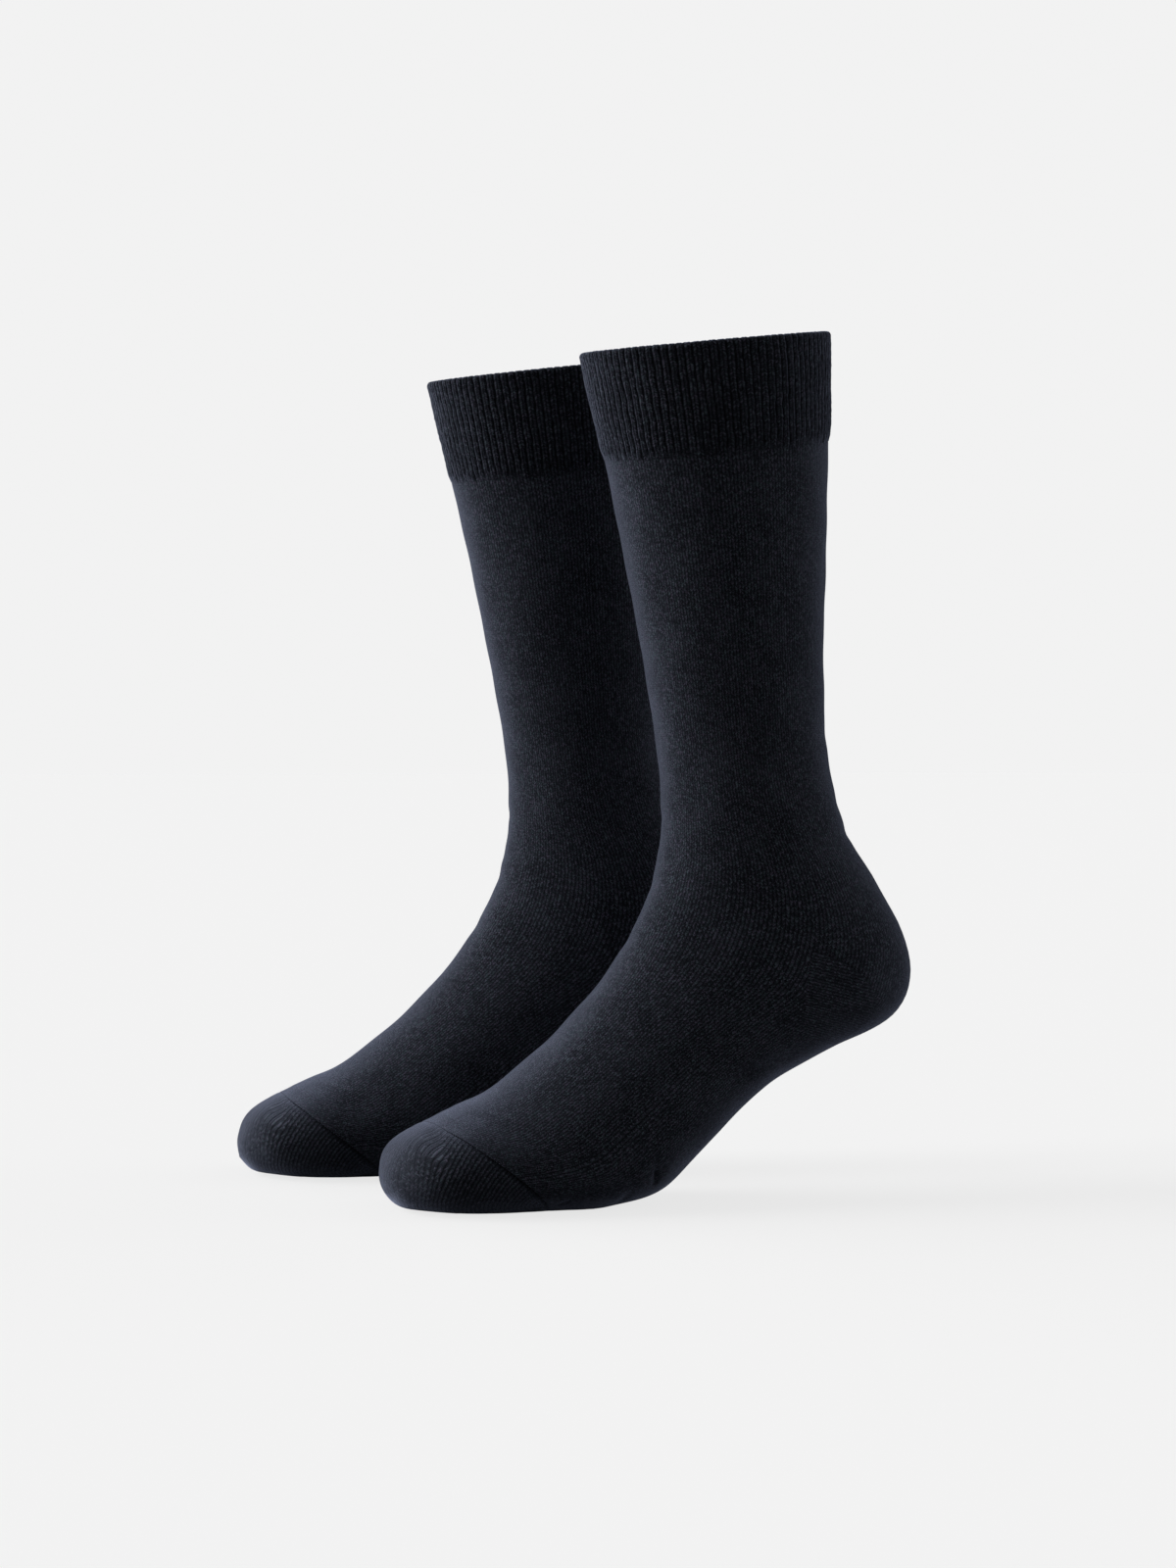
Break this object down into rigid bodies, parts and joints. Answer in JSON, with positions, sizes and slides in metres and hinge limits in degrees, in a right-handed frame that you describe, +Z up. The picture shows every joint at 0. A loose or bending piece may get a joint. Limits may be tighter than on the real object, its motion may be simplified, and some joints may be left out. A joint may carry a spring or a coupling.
{
  "type": "pair of socks",
  "caption": "Hollow knitted mid-calf socks with ribbed cuffs, heel pockets and linked toe pockets, filled out on tiptoe as if worn, standing side by side",
  "frame": {"origin": "midway between the two socks' legs at the height where the wearer's legs hold the cuffs, 360 mm above the ground that the toes meet", "axes": "+Z up, +X towards the heels and -X towards the toes, +Y from the near sock to the far sock"},
  "size_m": [0.2664, 0.229, 0.3715],
  "materials": {
    "ribbed_cuff": "one by one ribbed knit, heathered near-black navy, matt with a faint nap",
    "plain_knit": "fine plain knit, heathered near-black navy, matt with a faint nap",
    "pocket_knit": "closer plain knit of the heel and toe, heathered near-black navy, matt"
  },
  "bodies": {
    "root": {"near_cuff": "ribbed_cuff", "near_leg": "plain_knit", "near_heel_pocket": "pocket_knit", "near_foot": "plain_knit", "near_toe_pocket": "pocket_knit", "far_cuff": "ribbed_cuff", "far_leg": "plain_knit", "far_heel_pocket": "pocket_knit", "far_foot": "plain_knit", "far_toe_pocket": "pocket_knit"}
  },
  "joints": []
}
